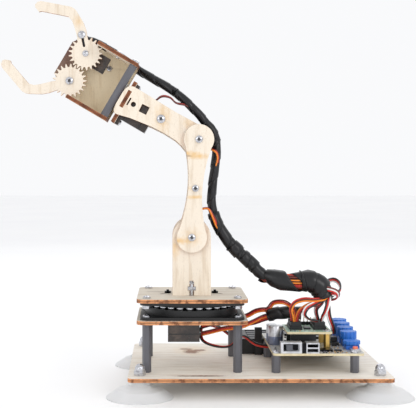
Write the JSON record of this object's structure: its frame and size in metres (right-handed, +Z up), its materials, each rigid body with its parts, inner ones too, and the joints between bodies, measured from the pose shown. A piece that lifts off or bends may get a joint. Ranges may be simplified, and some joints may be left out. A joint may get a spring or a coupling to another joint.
{
  "type": "desktop robot arm",
  "caption": "Desktop robot arm with a turntable on a ball bearing, shoulder, elbow, rolling wrist and a geared two-jaw gripper, on a suction-cup base with its control board.",
  "frame": {"origin": "middle of the footprint, in the plane the suction cups stand on", "axes": "+X towards the control board side, away from the gripper; +Y to the back, away from the gears; +Z up"},
  "size_m": [0.2884, 0.162, 0.2773],
  "materials": {
    "plywood": "unpainted birch ply with scorched laser-cut edges",
    "cup": "frosted clear soft vinyl",
    "steel": "bright zinc-plated screws and nuts",
    "ball_steel": "polished steel",
    "nylon": "dark grey nylon",
    "bearing_black": "satin black moulded plastic",
    "servo_case": "smoked dark brown plastic",
    "horn_plastic": "black nylon",
    "horn_white": "white nylon",
    "board": "fibreglass circuit board, pale solder mask",
    "shield": "fibreglass circuit board, pale green solder mask",
    "spacer_brass": "turned brass",
    "component_metal": "plated tin cans and housings",
    "black_plastic": "black moulded plastic",
    "slider": "grey moulded plastic",
    "button": "pink-orange moulded plastic",
    "knob_blue": "blue moulded plastic",
    "pot": "dark blue moulded plastic",
    "cell": "dark printed sleeve on a steel cell",
    "wrap": "glossy black spiral wrap",
    "leads": "three-wire ribbon in orange, red and brown"
  },
  "bodies": {
    "base": {"base_plate": "plywood", "suction_cups": "cup", "cup_fasteners": "steel", "standoffs": "nylon", "base_screws": "steel", "lower_deck": "plywood", "bearing_lower_race": "bearing_black", "base_servo": "servo_case", "main_board": "board", "shield_board": "shield", "board_spacers": "spacer_brass", "pin_headers": "black_plastic", "board_parts": "component_metal", "pot_bodies": "pot", "battery_holder": "black_plastic", "battery_cells": "cell", "servo_plugs": "black_plastic", "wire_bundles": "wrap", "board_leads": "leads", "base_leads": "leads"},
    "ball_ring": {"bearing_balls": "ball_steel"},
    "turret": {"bearing_upper_race": "bearing_black", "upper_deck": "plywood", "upright_front": "plywood", "upright_rear": "plywood", "shoulder_servo": "servo_case", "base_horn": "horn_plastic", "turret_screws": "steel", "harness_base": "wrap"},
    "upper_arm": {"upper_arm_front": "plywood", "upper_arm_rear": "plywood", "arm_spacer": "nylon", "shoulder_horn": "horn_plastic", "elbow_horn": "horn_plastic", "arm_screws": "steel", "harness_upper": "wrap"},
    "forearm": {"forearm_front": "plywood", "forearm_rear": "plywood", "wrist_mount": "plywood", "elbow_servo": "servo_case", "wrist_servo": "servo_case", "forearm_screws": "steel", "harness_fore": "wrap"},
    "gripper": {"servo_plate": "plywood", "gripper_walls": "plywood", "roll_plate": "plywood", "gripper_post": "nylon", "jaw_servo": "servo_case", "wrist_horn": "horn_white", "gripper_screws": "steel"},
    "upper_jaw": {"upper_jaw": "plywood", "jaw_horn": "horn_plastic"},
    "lower_jaw": {"lower_jaw": "plywood"},
    "switch_slider": {"switch_slider": "slider"},
    "button": {"button_cap": "button"},
    "knob_1": {"knob_1": "knob_blue"},
    "knob_2": {"knob_2": "knob_blue"},
    "knob_3": {"knob_3": "knob_blue"},
    "knob_4": {"knob_4": "knob_blue"},
    "knob_5": {"knob_5": "knob_blue"}
  },
  "joints": [
    {"name": "base_yaw", "type": "hinge", "parent": "base", "child": "turret", "pos_m": [-0.007, -0.0165, 0.06], "axis": [0, 0, 1], "range_deg": [-90, 90], "deforming": ["harness_base"]},
    {"name": "ball_ring_spin", "type": "hinge", "parent": "base", "child": "ball_ring", "pos_m": [-0.007, -0.0165, 0.0587], "axis": [0, 0, 1], "range_deg": [-45, 45]},
    {"name": "shoulder", "type": "hinge", "parent": "turret", "child": "upper_arm", "pos_m": [-0.007, -0.0165, 0.1075], "axis": [0, 1, 0], "range_deg": [-50, 40], "deforming": ["harness_upper"]},
    {"name": "elbow", "type": "hinge", "parent": "upper_arm", "child": "forearm", "pos_m": [-0.00191, -0.0165, 0.17681], "axis": [0, 1, 0], "range_deg": [-25, 60], "deforming": ["harness_fore"]},
    {"name": "wrist_roll", "type": "hinge", "parent": "forearm", "child": "gripper", "pos_m": [-0.05648, -0.0165, 0.21028], "axis": [-0.8625, 0, 0.506], "range_deg": [-90, 90]},
    {"name": "upper_jaw_turn", "type": "hinge", "parent": "gripper", "child": "upper_jaw", "pos_m": [-0.08337, -0.0165, 0.23933], "axis": [0, 1, 0], "range_deg": [-25, 35]},
    {"name": "lower_jaw_turn", "type": "hinge", "parent": "gripper", "child": "lower_jaw", "pos_m": [-0.09496, -0.0165, 0.21958], "axis": [0, 1, 0], "range_deg": [-35, 25]},
    {"name": "switch_slide", "type": "slide", "parent": "base", "child": "switch_slider", "axis": [1, 0, 0], "range_m": [0, 0.003]},
    {"name": "button_press", "type": "slide", "parent": "base", "child": "button", "axis": [0, 0, -1], "range_m": [0, 0.0008], "stiffness_N_per_m": 400, "springref_m": -0.0005},
    {"name": "knob_1_turn", "type": "hinge", "parent": "base", "child": "knob_1", "pos_m": [0.1062, -0.032, 0.03], "axis": [0, 0, 1], "range_deg": [-135, 135]},
    {"name": "knob_2_turn", "type": "hinge", "parent": "base", "child": "knob_2", "pos_m": [0.1062, -0.018, 0.03], "axis": [0, 0, 1], "range_deg": [-135, 135]},
    {"name": "knob_3_turn", "type": "hinge", "parent": "base", "child": "knob_3", "pos_m": [0.1062, -0.004, 0.03], "axis": [0, 0, 1], "range_deg": [-135, 135]},
    {"name": "knob_4_turn", "type": "hinge", "parent": "base", "child": "knob_4", "pos_m": [0.1062, 0.01, 0.03], "axis": [0, 0, 1], "range_deg": [-135, 135]},
    {"name": "knob_5_turn", "type": "hinge", "parent": "base", "child": "knob_5", "pos_m": [0.1062, 0.024, 0.03], "axis": [0, 0, 1], "range_deg": [-135, 135]}
  ],
  "couplings": [
    {"joint": "ball_ring_spin", "follows": "base_yaw", "ratio": 0.5},
    {"joint": "lower_jaw_turn", "follows": "upper_jaw_turn", "ratio": -1}
  ]
}
